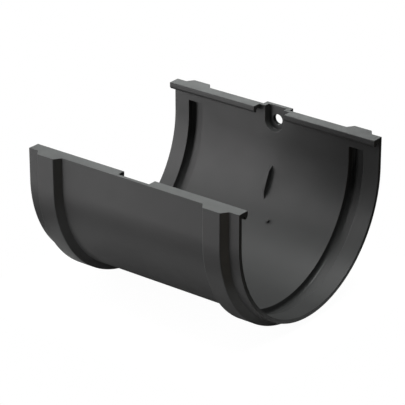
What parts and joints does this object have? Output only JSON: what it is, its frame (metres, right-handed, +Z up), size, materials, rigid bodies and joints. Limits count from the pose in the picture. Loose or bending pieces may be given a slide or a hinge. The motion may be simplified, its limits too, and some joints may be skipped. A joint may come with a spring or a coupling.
{
  "type": "gutter union",
  "caption": "Half-round gutter union: a trough with a raised band and seal groove near each end, hooked rim lips and a screw pocket in the back wall.",
  "frame": {"origin": "at mid-length between the two walls, at the height of the lowest points of the bands, on which the union stands", "axes": "+X along the gutter, +Y from the front wall to the back wall with the screw pocket, +Z up to the open rim"},
  "size_m": [0.154, 0.1488, 0.0944],
  "materials": {
    "graphite_plastic": "semi-matt graphite grey moulded PVC-U, coloured right through"
  },
  "bodies": {
    "root": {"union_body": "graphite_plastic"}
  },
  "joints": []
}
